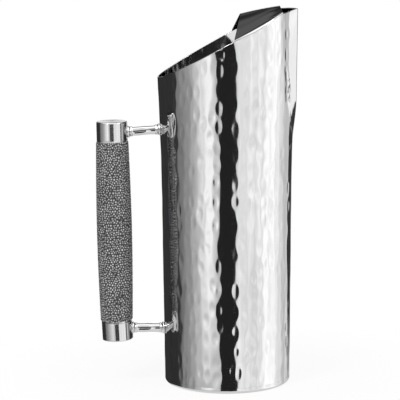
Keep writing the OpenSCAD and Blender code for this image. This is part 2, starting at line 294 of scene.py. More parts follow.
def turnedBeech():
    # Beech, turned and left unfinished: short dark flecks, 0.9 mm wide, along the grain.
    material, tree, shader = newMaterial("turned_beech")
    where = addNode(tree, "ShaderNodeTexCoord").outputs["Object"]
    along = addNode(tree, "ShaderNodeMapping", {"in:Scale": (1, 1, 0.1)}, Vector=where)
    flecks = addNode(tree, "ShaderNodeTexNoise", {
        "in:Scale": 1 / (0.9 * mm), "in:Detail": 4.0}, Vector=along.outputs[0])
    tint = addNode(tree, "ShaderNodeMix", {
        "data_type": "RGBA", "in:6": colour("b98f63"), "in:7": colour("d9b88f")},
        Factor=flecks.outputs["Fac"])
    tree.links.new(tint.outputs[2], shader.inputs["Base Color"])
    shader.inputs["Roughness"].default_value = 0.6
    return material


def drawnSteel():
    # Plain drawn rod: fine lines, 0.3 mm wide, along its length.
    material, tree, shader = newMaterial("drawn_steel_rod")
    where = addNode(tree, "ShaderNodeTexCoord").outputs["Object"]
    along = addNode(tree, "ShaderNodeMapping", {"in:Scale": (1, 1, 0.05)}, Vector=where)
    lines = addNode(tree, "ShaderNodeTexNoise", {
        "in:Scale": 1 / (0.3 * mm), "in:Detail": 2.0}, Vector=along.outputs[0])
    gloss = addNode(tree, "ShaderNodeMapRange", {
        "in:To Min": 0.25, "in:To Max": 0.5}, Value=lines.outputs["Fac"])
    tree.links.new(gloss.outputs[0], shader.inputs["Roughness"])
    shader.inputs["Base Color"].default_value = colour("c4c5c8")
    shader.inputs["Metallic"].default_value = 1
    return material


for nodeName, coreMaterial in (("grip_core", turnedBeech()), ("tie_rod", drawnSteel())):
    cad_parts[nodeName].data.materials.clear()
    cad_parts[nodeName].data.materials.append(coreMaterial)
print("materials made")

# The body's shape and marks

meanRadius = 50 * mm  # the wall's, round which its marks are measured
body = dict(
    footRadius=47.5 * mm, taper=2.6 * mm, flare=2.4 * mm, flareFrom=150 * mm, lip=280.6 * mm,
    sheet=1 * mm, seam=0.05 * mm, weld=4.5 * mm, roll=0.2 * mm,  # roll: how far the rim rounds up
    backRim=232 * mm, sag=1.5 * mm, guardBack=5.3 * mm, guardFront=41 * mm,
    markFade=2 * mm, rimClear=1.2 * mm, markInside=0.12, pitDepth=0.2 * mm,
    outerCols=560, notchCols=24,  # columns of the mesh round the wall and across the notch
)
spout = dict(
    foot=184 * mm, fold=214 * mm, footHalf=6 * mm, foldHalf=25 * mm, lipHalf=29 * mm,
    foldPush=1.9 * mm, lipPush=1.1 * mm, ridgeRound=0.06, lipRise=1.6 * mm,
    creaseSlope=0.12, bendAtFold=3 * mm, bendAtLip=11 * mm, markShare=0.3, ridgeClear=6 * mm,
)
bodyMarks = dict(  # narrow marks of the hammer's peen, in columns up the wall
    girth=2 * np.pi * meanRadius, around=50, pitch=13.8 * mm, halfWide=2.7 * mm,
    halfTall=5.6 * mm, depth=0.1 * mm, widthSpread=0.12, depthSpread=0.75, loose=0.24,
    uneven=0.3, drift=2.2 * mm, driftLength=208 * mm, driftStart=0.48, soft=0.012 * mm,
    seed=7, skip=(36, 38),
)
bodyWaves = dict(  # broad shallow hollows that the planishing left under them
    girth=2 * np.pi * meanRadius, around=24, pitch=19 * mm, halfWide=8 * mm,
    halfTall=12 * mm, depth=0.17 * mm, widthSpread=0.12, depthSpread=0.7, loose=0.3,
    uneven=0.3, drift=4 * mm, driftLength=230 * mm, driftStart=0, soft=0.05 * mm,
    seed=3, skip=(),
)
# The blows in the two columns that show beside the black reflection: angle round the body,
# height, half width, half height and depth, in degrees and millimetres.
frontBlows = [
    (265.5, 252.4, 2.8, 5.6, 0.22), (264.2, 240.8, 2.7, 6.3, 0.21), (263.3, 213.2, 2.7, 4.8, 0.17),
    (262.8, 200.0, 2.7, 5.2, 0.17), (261.2, 183.8, 2.5, 5.9, 0.13), (261.1, 172.0, 2.5, 5.9, 0.13),
    (260.2, 159.4, 2.5, 5.9, 0.17), (259.9, 144.0, 2.5, 5.9, 0.18), (259.4, 127.6, 2.4, 5.2, 0.18),
    (261.9, 95.6, 2.5, 6.0, 0.11), (261.6, 79.2, 2.5, 5.3, 0.12), (262.2, 63.4, 2.7, 5.3, 0.13),
    (263.2, 50.6, 3.1, 5.7, 0.13), (265.1, 39.2, 1.6, 1.9, 0.09), (261.4, 22.4, 1.7, 3.2, 0.06),
    (261.4, 12.6, 2.7, 4.2, 0.12), (275.4, 243.6, 3.0, 6.6, 0.1), (275.6, 216.0, 2.6, 5.5, 0.07),
    (276.6, 197.8, 3.1, 6.6, 0.11), (276.7, 179.4, 2.9, 6.6, 0.09), (276.7, 158.8, 2.9, 6.6, 0.09),
    (276.7, 144.6, 2.8, 5.2, 0.09), (275.6, 127.0, 2.5, 5.5, 0.06), (276.2, 105.4, 2.9, 6.0, 0.09),
    (276.7, 77.6, 2.8, 6.0, 0.14), (276.4, 61.8, 2.9, 5.6, 0.16), (276.5, 46.0, 2.9, 6.1, 0.15),
    (277.1, 32.2, 2.5, 3.8, 0.12), (279.3, 16.2, 2.6, 5.4, 0.13), (282.1, 232.0, 0.8, 2.2, 0.05),
    (283.4, 108.8, 0.8, 2.2, 0.05), (263.9, 226.5, 3.0, 7.0, 0.09), (264.2, 111.5, 2.8, 7.0, 0.08),
]


def wallRadius(z):  # straight taper, plus a flare that follows a squared sine
    flare = np.sin(np.pi / 2 * ramp(body["flareFrom"], body["lip"], z)) ** 2
    return body["footRadius"] + body["taper"] * z / body["lip"] + body["flare"] * flare


def rimHeight(x):
    # Straight from the back to the guard's front feet, with a sag beside the guard that
    # follows a squared sine, then level.
    back = -wallRadius(body["backRim"])
    slant = between(body["backRim"], body["lip"], (x - back) / (body["guardFront"] - back))
    sag = np.sin(np.pi * ramp(body["guardBack"], body["guardFront"], x)) ** 2
    return np.where(x >= body["guardFront"], body["lip"], slant - body["sag"] * sag)


def spoutHalf(z):  # half width of the spout's outline at a height
    low = between(spout["footHalf"], spout["foldHalf"], ramp(spout["foot"], spout["fold"], z))
    high = between(spout["foldHalf"], spout["lipHalf"], ramp(spout["fold"], body["lip"], z))
    return np.where(z > spout["fold"], high, low)


def creaseBend(fromCrease, z):
    # The sheets bend in towards the spout's creases: the square of the rest of the way to
    # them, over a width that grows towards the lip.
    wide = between(spout["bendAtFold"], spout["bendAtLip"], ramp(spout["fold"], body["lip"], z))
    wide = wide * ramp(spout["foot"], spout["fold"], z) + 0.01 * mm  # never quite nothing
    return -spout["creaseSlope"] * wide / 2 * (1 - ramp(0, 1, fromCrease / wide)) ** 2


def bodyMarkDepth(angle, z, clear):  # hammer marks, fading out near an edge
    u = angle % (2 * np.pi) * meanRadius
    single = [(math.radians(degrees) * meanRadius, height * mm, halfWide * mm, halfTall * mm,
               depth * mm) for degrees, height, halfWide, halfTall, depth in frontBlows]
    marks = hammerMarks(u, z, bodyMarks, single) + hammerMarks(u, z, bodyWaves)
    return marks * blendOver(0, body["markFade"], clear)


# The wall, the base and the spout

# Dark dashes in the wall beside the crease, pressed in and darkened in colour: height, distance
# from the crease, half height and half width in millimetres.
darkDashes = [
    (265, 0.6, 4.4, 1.1), (250, 1.3, 5.4, 1.1), (238.5, 2.1, 3.6, 1.1), (233.5, 0.9, 3.6, 1.3),
    (228.5, 0, 3.4, 1.5), (223.5, 1.4, 3.4, 1.2), (218, 0.6, 3.2, 1.1),
]


def makeBodyWall():
    # Rows run up from the weld to the slanted rim, columns run round from one side of the
    # spout's notch to the other, and a few more close the ring below the notch. Each point
    # stands at the wall's radius, plus marks and bend, less a pit.
    lowRows, highRows = 84, 44
    outerCols, cols = body["outerCols"], body["outerCols"] + body["notchCols"]
    low, gap = body["weld"] + body["seam"], body["seam"]
    notchShare = (spout["foot"] - gap - low) / (body["lip"] - low)
    nearRim = 1 - 0.25 * mm / (body["lip"] - low)  # a last row keeps the rim's rounding narrow
    share = np.concatenate([np.linspace(0, notchShare, lowRows + 1),
                            np.linspace(notchShare, nearRim, highRows + 1)[1:], [1]])
    column = np.arange(cols)

    def angles(z, inset):  # angle of each column at the height of its row's front end
        edge = np.arcsin((spoutHalf(z) + gap) / (wallRadius(z) - inset))[:, None]
        aroundWall = edge + (2 * np.pi - 2 * edge) * column / outerCols
        acrossNotch = -edge + 2 * edge * (column - outerCols) / body["notchCols"]
        return np.where(column <= outerCols, aroundWall, acrossNotch)

    front = low + (body["lip"] - low) * share
    outerAngle = angles(front, 0)
    rim = np.full(cols, body["lip"])
    for _ in range(12):  # the rim's height and the wall's radius depend on each other
        rim = rimHeight(wallRadius(rim) * np.cos(outerAngle[-1]))
    rim = rim - body["roll"]
    z = low + (rim - low) * share[:, None]
    fromFront = np.abs((outerAngle + np.pi) % (2 * np.pi) - np.pi)
    beside = (fromFront - np.arcsin(spoutHalf(z) / wallRadius(z))) * wallRadius(z)
    below = np.hypot(np.maximum(spout["foot"] - z, 0), np.maximum(beside, 0))
    clear = np.minimum(np.where(z > spout["foot"], beside, below), rim + body["rimClear"] - z)
    dent = bodyMarkDepth(outerAngle, z, clear)
    bend = creaseBend(np.maximum(beside, 0), z)
    pit = np.zeros_like(z)
    for height, aside, halfTall, halfWide in darkDashes:
        pit = np.maximum(pit, 1 - ((beside - aside * mm) / (halfWide * mm)) ** 2
                         - ((z - height * mm) / (halfTall * mm)) ** 2)

    def shell(angle, radius, z):
        return np.stack([radius * np.cos(angle), radius * np.sin(angle), z], -1)

    outer = shell(outerAngle, wallRadius(z) + dent + bend - body["pitDepth"] * pit, z)
    # The inside shows the marks only faintly, so it keeps fewer rows.
    keep = np.concatenate([np.arange(0, lowRows, 7), np.arange(lowRows, lowRows + highRows + 1, 4),
                           [len(share) - 1]])
    innerRadius = wallRadius(z) - body["sheet"] + body["markInside"] * dent + bend
    inner = shell(angles(front, body["sheet"])[keep], innerRadius[keep], z[keep])
    rolled = rolledEdge(outer[-1], inner[-1], body["roll"])
    points = np.concatenate([part.reshape(-1, 3) for part in (outer, inner, rolled)])
    rows, innerRows = len(share), len(keep)
    firstInner, firstRoll = rows * cols, (rows + innerRows) * cols
    innerNotchRow = int(np.searchsorted(keep, lowRows))

    def sheetFaces(rows, first, notchRow):  # a grid's quads without those inside the notch
        quads = gridFaces(rows, cols, first, closedCols=True)
        row, col = np.divmod(np.arange(len(quads)), cols)
        return quads[(row < notchRow) | (col < outerCols)]

    ring = np.arange(cols + 1) % cols
    sill = ring[outerCols:]
    rimCols = ring[:outerCols + 1]
    rimRows = [(rows - 1) * cols, *(firstRoll + k * cols for k in range(len(rolled))),
               firstInner + (innerRows - 1) * cols]
    quads = [
        sheetFaces(rows, 0, lowRows), sheetFaces(innerRows, firstInner, innerNotchRow),
        stripFaces(ring, firstInner + ring),
        stripFaces(lowRows * cols + sill, firstInner + innerNotchRow * cols + sill),
        *(stripFaces(a + rimCols, b + rimCols) for a, b in zip(rimRows, rimRows[1:])),
    ]
    # The notch's two edges have a row of the inside for every four rows of the outside.
    sides, caps = [], []
    for col in (0, outerCols):
        top = np.array([-cols, 0]) + col
        quads.append(stripFaces(rimRows[0] + top, rimRows[-1] + top))
        m = np.arange(innerNotchRow, innerRows - 2)
        sides.append(np.stack([(keep[m] + k) * cols + col for k in range(5)]
                              + [firstInner + (m + k) * cols + col for k in (1, 0)], -1))
        caps.append([row + col for row in rimRows])
    # The dashes are also darkened in colour, towards a dark grey.
    darkMarkAndPaintedReflection = np.concatenate([np.clip(3 * pit, 0, 1).ravel(), np.zeros(len(points) - pit.size)])
    return addPiece("bodyWall", points, [np.concatenate(quads), np.concatenate(sides), np.array(caps)],
                    ["body_wall"], hammeredSteel, values={"darkMarkAndPaintedReflection": darkMarkAndPaintedReflection})


base = dict(corner=2.6 * mm, sheet=1.2 * mm, firstRing=8 * mm, cornerRing=2 * mm, marksFrom=30 * mm)


def makeBasePlate():
    # Profile of the pressed disc, out along its underside, round the corner and back along
    # its inside, carried round in as many columns as the wall has.
    corner, sheet, top = base["corner"], base["sheet"], body["weld"]
    centre = wallRadius(corner) - corner
    flat = np.linspace(base["firstRing"], centre - base["cornerRing"], 8)
    profile = np.concatenate([
        [[0, 0]], [[r, 0] for r in flat],
        arc(centre, corner, corner, -90, 0, 10),
        [[wallRadius(top), top], [wallRadius(top) - body["sheet"], top]],
        arc(centre + sheet - body["sheet"], corner, corner - sheet, 0, -90, 6),
        [[r, sheet] for r in flat[::-1]], [[0, sheet]],
    ])
    cols = body["outerCols"] + body["notchCols"]
    angle = np.linspace(0, 2 * np.pi, cols, endpoint=False)
    r, z = profile[:, :1], profile[:, 1:]
    fade = blendOver(0, top, z) * blendOver(base["marksFrom"], centre, r)
    r = r + bodyMarkDepth(angle, top, np.inf) * fade
    points = np.stack([r * np.cos(angle), r * np.sin(angle), np.broadcast_to(z, r.shape)], -1)
    return addPiece("basePlate", points, [gridFaces(*points.shape[:2], closedCols=True)],
                    ["base_plate"], hammeredSteel)


# Dents where the crease was dressed down: height, distance from the crease, half height,
# half width and depth in millimetres.
creaseDents = [
    (265, 4.2, 4.5, 2.6, 0.12), (250, 2.6, 5.5, 2.4, 0.1), (239, 2.6, 3, 2.4, 0.12),
    (234.5, 3.6, 3.6, 2.8, 0.2), (229, 5, 3.4, 2.8, 0.16), (224, 6.8, 3, 3, 0.2),
    (220.5, 4.6, 2.6, 2.6, 0.14), (216.5, 6.4, 3, 2.8, 0.16),
]


def ridgeX(z):  # the spout's ridge in the side view
    above = between(wallRadius(spout["fold"]) + spout["foldPush"],
                    wallRadius(body["lip"]) + spout["lipPush"],
                    ramp(spout["fold"], body["lip"], z))
    push = np.sin(np.pi / 2 * ramp(spout["foot"], spout["fold"], z)) ** 1.5
    return np.where(z > spout["fold"], above, wallRadius(z) + spout["foldPush"] * push)


def makeSpout():
    # Rows up the spout, columns across it: straight from crease to ridge, with the ridge
    # rounded as a hyperbola.
    top = body["lip"] - body["roll"]
    z = np.concatenate([np.linspace(spout["foot"], spout["fold"], 28),
                        np.linspace(spout["fold"], top - 0.4 * mm, 61)[1:], [top]])[:, None]
    u = np.linspace(-1, 1, 121)[None, :]
    u = u * (1.4 - 0.4 * u * u)  # closer together towards the creases
    k = spout["ridgeRound"]
    lean = (np.sqrt(u * u + k * k) - k) / (math.sqrt(1 + k * k) - k)
    half = spoutHalf(z)
    fromCrease = (1 - np.abs(u)) * half
    clear = np.minimum(fromCrease, np.minimum(z - spout["foot"], body["lip"] - z))
    dent = spout["markShare"] * bodyMarkDepth(np.arcsin(half * u / wallRadius(z)), z, clear)
    dent = dent * blendOver(0, spout["ridgeClear"], np.abs(u) * half)
    for height, aside, halfTall, halfWide, depth in creaseDents:
        bowl = (((fromCrease - aside * mm) / (halfWide * mm)) ** 2
                + ((z - height * mm) / (halfTall * mm)) ** 2)
        dent = dent - depth * mm * np.maximum(1 - bowl, 0)
    dent = dent + creaseBend(fromCrease, z)

    def face(depth):
        r = wallRadius(z) - depth
        x = between(ridgeX(z) - depth, np.sqrt(r * r - half * half), lean) + dent
        rise = spout["lipRise"] * (1 - u * u) * ramp(spout["fold"], body["lip"], z)
        return np.stack([x, half * u + 0 * x, z + rise], -1)

    outer, inner = face(0), face(body["sheet"])
    rolled = rolledEdge(outer[-1], inner[-1], body["roll"])
    loop = np.concatenate([outer, rolled, inner[::-1]])
    rows, cols = loop.shape[:2]
    m = np.arange(len(outer))
    sides = [stripFaces(m * cols + c, (rows - 1 - m) * cols + c) for c in (0, cols - 1)]
    capRows = np.arange(len(outer) - 1, len(outer) + len(rolled) + 1)
    caps = np.array([capRows * cols + c for c in (0, cols - 1)])
    strip = gridFaces(rows, cols, closedRows=True)
    return addPiece("spoutPanel", loop, [np.concatenate([strip, *sides]), caps],
                    ["spout"], sheetSteel)


makeBodyWall()
makeBasePlate()
makeSpout()
print("body made")

# The ice guard

guard = dict(
    backRise=15.8 * mm, frontRise=2.6 * mm, lean=6 * mm, setback=1 * mm, crown=0.4 * mm,
    flat=0.8, inset=1.3 * mm, sheet=1 * mm, edge=0.3 * mm, ripple=0.035 * mm,
    bevel=0.13 * mm, sharp=28,
)


def makeIceGuard():
    # A bead along the rim in a quarter round, a straight fold, and a wing that rises straight
    # and then levels out in a parabola at the ridge. The other side mirrors it.
    flat = guard["flat"]
    s = np.linspace(0, 1, 57)[:, None]
    t = np.concatenate([np.linspace(0, flat, 40), np.linspace(flat, 1, 12)[1:]])[None, :]
    lift = guard["sheet"] + body["seam"]
    back, front = body["guardBack"], body["guardFront"]
    x = between(back, front, s)
    backZ = rimHeight(np.array(back))

    def halfAt(x, z, inset):  # half width of the mouth
        return np.sqrt((wallRadius(z) - inset) ** 2 - x * x)

    foldY = between(halfAt(back, backZ, guard["inset"]),
                    halfAt(front, body["lip"], guard["inset"]), s)
    foldZ = between(backZ, body["lip"], s) + lift
    rimY, rimZ = halfAt(x, rimHeight(x), 0), rimHeight(x) + lift
    ridgeLineX = between(back + guard["lean"], front - guard["setback"], s)
    ridgeLineZ = (between(backZ + guard["backRise"], body["lip"] + guard["frontRise"], s) + lift
                  + 4 * guard["crown"] * s * (1 - s))
    rise = 2 / (1 + flat) * np.where(t <= flat, t, t - (t - flat) ** 2 / (2 * (1 - flat)))
    # Ripples from the bending rolls run along the wing.
    ripple = (np.sin(2 * np.pi * (2.3 * t + 0.35 * s))
              + 0.6 * np.sin(2 * np.pi * (5.1 * t - 0.6 * s) + 1)) * np.sin(np.pi * t)
    wing = np.stack([between(x, ridgeLineX, t), between(foldY, 0, t),
                     between(foldZ, ridgeLineZ, rise) + guard["ripple"] * ripple], -1)
    a = np.radians(np.linspace(0, 90, 9))[None, :-1]
    seat = rimZ - guard["sheet"]
    low = seat + guard["edge"]
    bead = np.stack([x + 0 * a, between(rimY, foldY, 1 - np.cos(a)),
                     between(low, foldZ, np.sin(a))], -1)
    top = np.concatenate([bead, wing], 1)
    under = top - np.array([0, 0, guard["sheet"]])
    under[:, :a.size, 2] = np.maximum(under[:, :a.size, 2], seat)
    mirror = np.array([1, -1, 1])
    top, under = [np.concatenate([half * mirror, half[:, -2::-1]], 1) for half in (top, under)]
    rows, cols = top.shape[:2]
    loop = np.concatenate([top, under[::-1]])
    # Painted dark reflection: the colour darkens in streaks, mostly in a band near the ridge.
    streaks = 0.5 + 0.5 * np.sin(2 * np.pi * (3.1 * t - 0.4 * s) + 0.8 * np.sin(5 * s))
    darkMarkAndPaintedReflection = (blendOver(0.45, 0.8, t + 0.1 * s) * between(0.45, 1, streaks)
            + 0.25 * streaks * blendOver(0, 0.5, t))
    darkMarkAndPaintedReflection = np.clip(np.concatenate([0 * x + 0 * a, darkMarkAndPaintedReflection], 1), 0, 1)
    darkMarkAndPaintedReflection = np.concatenate([darkMarkAndPaintedReflection, darkMarkAndPaintedReflection[:, -2::-1]], 1)
    m = np.arange(rows)
    sides = [stripFaces(m * cols + c, (2 * rows - 1 - m) * cols + c) for c in (0, cols - 1)]
    strip = gridFaces(2 * rows, cols, closedRows=True)
    # The attribute carries the painted dark reflection on the guard's upper face.
    piece = addPiece("iceGuard", loop, [np.concatenate([strip, *sides])],
                     ["ice_guard"], sheetSteel, guard["sharp"],
                     {"darkMarkAndPaintedReflection": np.concatenate([darkMarkAndPaintedReflection, 0 * darkMarkAndPaintedReflection])})
    edge = piece.modifiers.new("sheet edge", "BEVEL")
    edge.width, edge.segments = guard["bevel"], 3
    edge.limit_method, edge.angle_limit = "ANGLE", math.radians(60)
    return piece


makeIceGuard()
print("ice guard made")

# The handle: where it stands, then arms, collars, ferrules and the leather sleeve

handle = dict(
    turn=186, reach=36 * mm, low=33.9 * mm, high=199.7 * mm, tilt=2,
    upperDrop=8.7 * mm, upperFall=-2 * mm, lowerRise=8.6 * mm, lowerFall=1 * mm,
)
upperArmZ, lowerArmZ = handle["high"] - handle["upperDrop"], handle["low"] + handle["lowerRise"]
gripLean = math.degrees(math.atan((wallRadius(upperArmZ) - wallRadius(lowerArmZ))
                                  / (upperArmZ - lowerArmZ)))
gripLength = (handle["high"] - handle["low"]) / math.cos(math.radians(gripLean))
handleTurn = turnZ(handle["turn"])


def gripDistance(z):  # distance of the grip's axis from the body's axis
    climb = (z - lowerArmZ) * math.tan(math.radians(gripLean))
    return wallRadius(lowerArmZ) + handle["reach"] + climb


gripTurn = handleTurn @ turnY(gripLean)
gripOrigin = handleTurn @ np.array([gripDistance(handle["low"]), 0, handle["low"]])

ferrule = dict(radius=11.5 * mm, length=15 * mm, edge=0.8 * mm, mouthBevel=0.15 * mm,
               socketRadius=8.7 * mm, socketDepth=4.1 * mm)


def lowerEnd(points):  # tilted about the middle of the leather's end
    pivot = np.array([0, 0, ferrule["length"]])
    return placed(placed(points - pivot, turnY(handle["tilt"]), pivot), gripTurn, gripOrigin)


def upperEnd(points):  # turned over, from the other end of the grip
    turnedOver = points * np.array([1, -1, -1]) + np.array([0, 0, gripLength])
    return placed(turnedOver, gripTurn, gripOrigin)


def makeFerrule(name, place):
    # Cap with a rounded outer edge and a socket for the core, as one profile.
    radius, length, edge = ferrule["radius"], ferrule["length"], ferrule["edge"]
    socketFloor = length - ferrule["socketDepth"]
    profile = np.concatenate([
        [[0, 0]], [[r, 0] for r in np.linspace(2 * mm, radius - edge - 0.4 * mm, 6)],
        arc(radius - edge, edge, edge, -90, 0, 8),
        [[radius, z] for z in np.linspace(edge + 0.6 * mm, length - 0.3 * mm, 8)],
        [[radius - ferrule["mouthBevel"], length], [ferrule["socketRadius"], length],
         [ferrule["socketRadius"], socketFloor], [0, socketFloor]],
    ])
    points = revolved(profile, 128)
    return addPiece(name + "Ferrule", place(points), [gridFaces(*points.shape[:2], closedCols=True)],
                    [name + "_ferrule"], turnedSteel)


def armFrame(z, fall):  # turn, origin and length of an arm, from the grip's axis to the wall
    run = gripDistance(z) - wallRadius(z - fall)
    turn = handleTurn @ turnY(-90 - math.degrees(math.atan(fall / run)))
    return turn, handleTurn @ np.array([gripDistance(z), 0, z]), math.hypot(run, fall)


def ontoWall(points, direction):  # moved along a direction until they lie just off the wall
    for _ in range(8):
        off = wallRadius(points[..., 2]) + body["seam"]
        away = np.hypot(points[..., 0], points[..., 1]) - off
        points = points + away[..., None] * direction
    return points


arm = dict(radius=3.5 * mm, tenonRadius=2.3 * mm, tenonLength=5.5 * mm, tenonBevel=0.3 * mm,
           markFade=4 * mm, cols=64)
armMarks = dict(  # four rows of blows, which leave the rod nearly square
    girth=2 * np.pi * arm["radius"], around=4, pitch=11 * mm, halfWide=2.7 * mm,
    halfTall=7.5 * mm, depth=0.46 * mm, widthSpread=0.12, depthSpread=0.3, loose=0.1,
    uneven=0.25, drift=0, driftLength=1, driftStart=0, soft=0.04 * mm, seed=4, skip=(),
)


def makeArm(name, z, fall):
    # A tenon, a step and the hammered rod, as one profile of revolution. Its end is coped
    # to the wall.
    turn, origin, length = armFrame(z, fall)
    start = ferrule["radius"] + 0.1 * mm
    tip, tenonRadius, bevel = start - arm["tenonLength"], arm["tenonRadius"], arm["tenonBevel"]
    tenon = [[0, tip], [tenonRadius - bevel, tip], [tenonRadius, tip + bevel], [tenonRadius, start]]
    rod = [[arm["radius"], along] for along in np.linspace(start, length - 0.4 * mm, 80)]
    end = [[r, length] for r in np.linspace(arm["radius"], 0, 6)]
    profile = np.concatenate([tenon, rod, end])
    points = revolved(profile, arm["cols"])
    angle = np.linspace(0, 2 * np.pi, arm["cols"], endpoint=False)[None, :]
    radius, along = profile[:, :1], profile[:, 1:]
    onRod = radius > (arm["radius"] + tenonRadius) / 2
    fade = (blendOver(start, start + arm["markFade"], along)
            * blendOver(0, arm["markFade"], length - along))
    blows = hammerMarks((angle + np.pi / 4) * arm["radius"], along + 0 * angle, armMarks)
    dent = blows * fade * onRod
    points[..., 0] += dent * np.cos(angle)
    points[..., 1] += dent * np.sin(angle)
    world = placed(points, turn, origin)
    world[-len(end):] = ontoWall(world[-len(end):], turn[:, 2])
    return addPiece(name + "Arm", world, [gridFaces(*points.shape[:2], closedCols=True)],
                    [name + "_arm"], rodSteel)


collar = dict(radius=4.4 * mm, length=3.8 * mm, beadFrom=45, beadShare=0.55, neck=0.3,
              skin=0.02 * mm, rows=31, cols=64)


def makeCollar(name, where, z, fall):
    # Bead that swells from its foot in part of a sine, then a neck down to the arm. Its foot
    # is coped to the wall or to the ferrule's round side, and the rows above follow less and less.
    turn, origin, length = armFrame(z, fall)
    bore = arm["radius"] + body["seam"]
    swell = collar["radius"] - bore
    rise = np.linspace(0, 1, collar["rows"])
    beadTurn = between(collar["beadFrom"], 180, np.minimum(rise / collar["beadShare"], 1))
    neck = collar["neck"] * np.sin(np.pi * ramp(collar["beadShare"], 1, rise))
    radius = bore + swell * np.maximum(np.sin(np.radians(beadTurn)), neck) + collar["skin"]
    profile = np.concatenate([[[bore, 0]], np.stack([radius, rise], -1), [[bore, 1]]])
    points = revolved(profile, collar["cols"])
    share = points[..., 2:].copy()
    if where == "wall":
        points[..., 2] = length
        foot = ontoWall(placed(points, turn, origin), turn[:, 2])
        world = foot - share * collar["length"] * turn[:, 2]
    else:
        seat = np.sqrt((ferrule["radius"] + body["seam"]) ** 2 - points[..., 1:2] ** 2)
        along = between(seat, ferrule["radius"] + collar["length"], share)
        world = placed(np.concatenate([points[..., :2], along], -1), turn, origin)
    return addPiece(name + where.capitalize() + "Collar", world,
                    [gridFaces(*points.shape[:2], closedCols=True, closedRows=True)],
                    [f"{name}_{where}_collar"], turnedSteel)


sleeve = dict(
    endRadius=12.15 * mm, middleRadius=13.25 * mm, leather=1.6 * mm, rows=380, cols=224,
    turnedIn=0.5 * mm, turnedOver=0.9 * mm, seamDepth=0.3 * mm, seamFloor=0.1 * mm,
    seamEdge=0.6 * mm, sharp=80,
)
grain = dict(pitch=1.75 * mm, around=45, relief=0.3 * mm, loose=0.8, seed=11)


def grainPattern(u, v, girth):
    # Cells round the nearest of a jittered, staggered lattice of points. Each grain rises as
    # 1 - (distance to its point / distance to the next point) squared, so grooves lie where
    # two points are equally far. Also a tone per cell.
    cols, rows = grain["around"], 128
    pitchU, pitchV = girth / cols, grain["pitch"]
    jitter = np.random.default_rng(grain["seed"]).uniform(0, 1, (cols, rows, 3))
    baseU, baseV = np.floor(u / pitchU).astype(int), np.floor(v / pitchV).astype(int)
    nearest, second, tone = np.full(u.shape, 1.0), np.full(u.shape, 1.0), np.zeros(u.shape)
    for stepU in (-2, -1, 0, 1, 2):
        for stepV in (-2, -1, 0, 1, 2):
            cu, cv = baseU + stepU, baseV + stepV
            k = jitter[cu % cols, cv % rows]
            stagger = 0.5 * (cv % 2)
            d = np.hypot(u - (cu + stagger + grain["loose"] * k[..., 0]) * pitchU,
                         v - (cv + grain["loose"] * k[..., 1]) * pitchV)
            closer = d < nearest
            second = np.where(closer, nearest, np.minimum(second, d))
            tone = np.where(closer, k[..., 2], tone)
            nearest = np.where(closer, d, nearest)
    return np.clip(1 - (nearest / second) ** 2, 0, 1), tone


def makeSleeve():
    # Barrel whose radius follows a half sine, pressed in between the grains. The ends turn
    # in, and the butt seam faces the wall.
    rows, cols = sleeve["rows"], sleeve["cols"]
    low = ferrule["length"] + body["seam"]
    high = gripLength - ferrule["length"] - body["seam"]
    angle = np.linspace(0, 2 * np.pi, cols, endpoint=False)[None, :]

    def barrelRadius(t):
        return between(sleeve["endRadius"], sleeve["middleRadius"], np.sin(np.pi * t))

    def barrel(r, level):  # the lower end lies in the plane of the tilted ferrule
        slope = math.tan(math.radians(handle["tilt"]))
        straight = ramp(0, 0.2, (level - low) / (high - low))
        z = level - slope * r * np.cos(angle) * (1 - straight)
        return np.stack([r * np.cos(angle), r * np.sin(angle), z + 0 * r], -1)

    t = np.linspace(0, 1, rows)[:, None]
    radius, along = barrelRadius(t), t * (high - low)
    girth = 2 * np.pi * sleeve["middleRadius"]
    dome, tone = grainPattern(angle / (2 * np.pi) * girth + 0 * t, along + 0 * angle, girth)
    fromEnd = np.minimum(along, high - low - along)
    curl = 1 - ramp(0, sleeve["turnedOver"], fromEnd)
    turnedIn = sleeve["turnedIn"] * (1 - np.sqrt(1 - curl ** 2))
    fromSeam = np.abs(angle - np.pi) * radius
    seamGroove = 1 - blendOver(sleeve["seamFloor"], sleeve["seamEdge"], fromSeam)
    press = grain["relief"] * (1 - dome) + sleeve["seamDepth"] * seamGroove
    outer = barrel(radius - press - turnedIn, low + along + 0 * angle)
    innerT = np.linspace(1, 0, 14)[:, None]
    inner = barrel(barrelRadius(innerT) - sleeve["leather"] + 0 * angle,
                   low + innerT * (high - low) + 0 * angle)
    points = np.concatenate([outer, inner])
    fields = {"grain": np.concatenate([dome * (1 - seamGroove), np.zeros(inner.shape[:2])]),
              "shade": np.concatenate([tone, np.zeros(inner.shape[:2])])}
    return addPiece("gripSleeve", placed(points, gripTurn, gripOrigin),
                    [gridFaces(*points.shape[:2], closedCols=True, closedRows=True)],
                    ["grip_sleeve"], shagreenLeather(), sleeve["sharp"], fields)


for end, armZ, armFall, endPlace in (("upper", upperArmZ, handle["upperFall"], upperEnd),
                                     ("lower", lowerArmZ, handle["lowerFall"], lowerEnd)):
    makeArm(end, armZ, armFall)
    makeCollar(end, "wall", armZ, armFall)
    makeCollar(end, "grip", armZ, armFall)
    makeFerrule(end, endPlace)
makeSleeve()
print("handle made")

